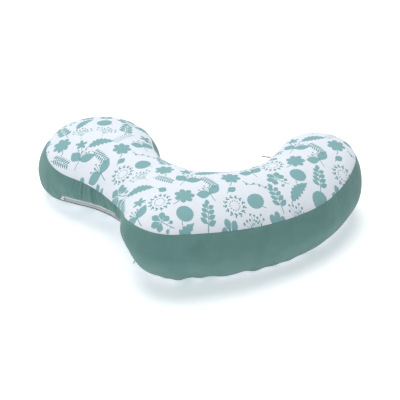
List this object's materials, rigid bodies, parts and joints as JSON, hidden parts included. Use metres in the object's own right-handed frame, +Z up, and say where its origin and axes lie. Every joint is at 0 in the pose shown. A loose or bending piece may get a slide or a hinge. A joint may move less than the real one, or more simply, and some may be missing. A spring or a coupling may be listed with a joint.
{
  "type": "nursing pillow",
  "caption": "C-shaped nursing pillow: a fibre-filled inner pillow in a printed cotton cover with a plain side band, a low zip on the outer side and a small ribbon label.",
  "frame": {"origin": "under the middle of the pillow's box, on the flat underside", "axes": "+X from the round lobe to the short arm, +Y towards the mouth of the waist opening, +Z up out of the printed top"},
  "size_m": [0.669, 0.471, 0.1749],
  "materials": {
    "printed_cotton": "matte",
    "sage_cotton": "matte",
    "liner_cotton": "matte",
    "polyester_fibre": "matte",
    "zip_tape": "matte",
    "zip_coil": "satin",
    "coated_metal": "gloss",
    "label_ribbon": "satin"
  },
  "bodies": {
    "pillow": {"cover_top_panel": "printed_cotton", "cover_bottom_panel": "printed_cotton", "cover_band_outer": "sage_cotton", "cover_band_inner": "sage_cotton", "liner_top_panel": "liner_cotton", "liner_bottom_panel": "liner_cotton", "liner_band": "liner_cotton", "fibre_fill": "polyester_fibre", "zip_tape_upper": "zip_tape", "zip_tape_lower": "zip_tape", "zip_coil_upper": "zip_coil", "zip_coil_lower": "zip_coil", "zip_top_stop_upper": "coated_metal", "zip_top_stop_lower": "coated_metal", "zip_bottom_stop": "coated_metal", "side_label": "label_ribbon"},
    "slider": {"zip_slider": "coated_metal"},
    "pull": {"zip_pull": "coated_metal"}
  },
  "joints": [
    {"name": "zip_travel", "type": "hinge", "parent": "pillow", "child": "slider", "pos_m": [-0.30795, -0.17965, 0.04858], "axis": [0.0047, 0.0414, 0.9991], "range_deg": [0, 62]},
    {"name": "pull_swing", "type": "hinge", "parent": "slider", "child": "pull", "pos_m": [-0.11097, -0.1559, 0.04667], "axis": [-0.12, 0.9919, -0.0405], "range_deg": [-25, 75]}
  ]
}
